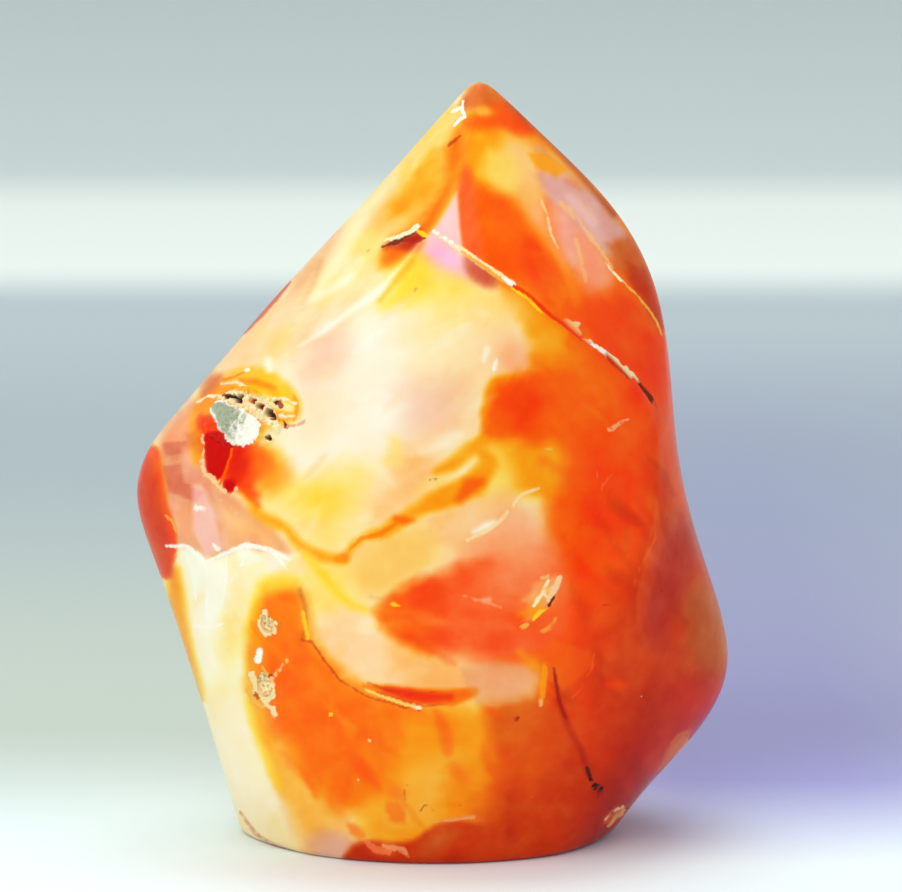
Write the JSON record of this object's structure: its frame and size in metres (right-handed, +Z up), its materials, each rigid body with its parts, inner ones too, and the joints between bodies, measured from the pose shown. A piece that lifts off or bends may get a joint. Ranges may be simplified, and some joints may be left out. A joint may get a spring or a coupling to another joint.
{
  "type": "polished carnelian flame carving",
  "caption": "Free-standing polished carnelian stone with a flat base and curved faces that twist up to a point, with a small natural crystal pocket high on the left.",
  "frame": {"origin": "middle of the bounding box at the base, on the surface that the stone stands on", "axes": "+Z up through the point, +X to the right and +Y away from the viewer of the face in the picture"},
  "size_m": [0.0812, 0.054, 0.104],
  "materials": {
    "carnelian": "polished translucent chalcedony, milky white to orange and deep red",
    "rough_quartz": "natural rough quartz crystals, unpolished"
  },
  "bodies": {
    "root": {"flame_stone": "carnelian", "quartz_crust": "rough_quartz"}
  },
  "joints": []
}
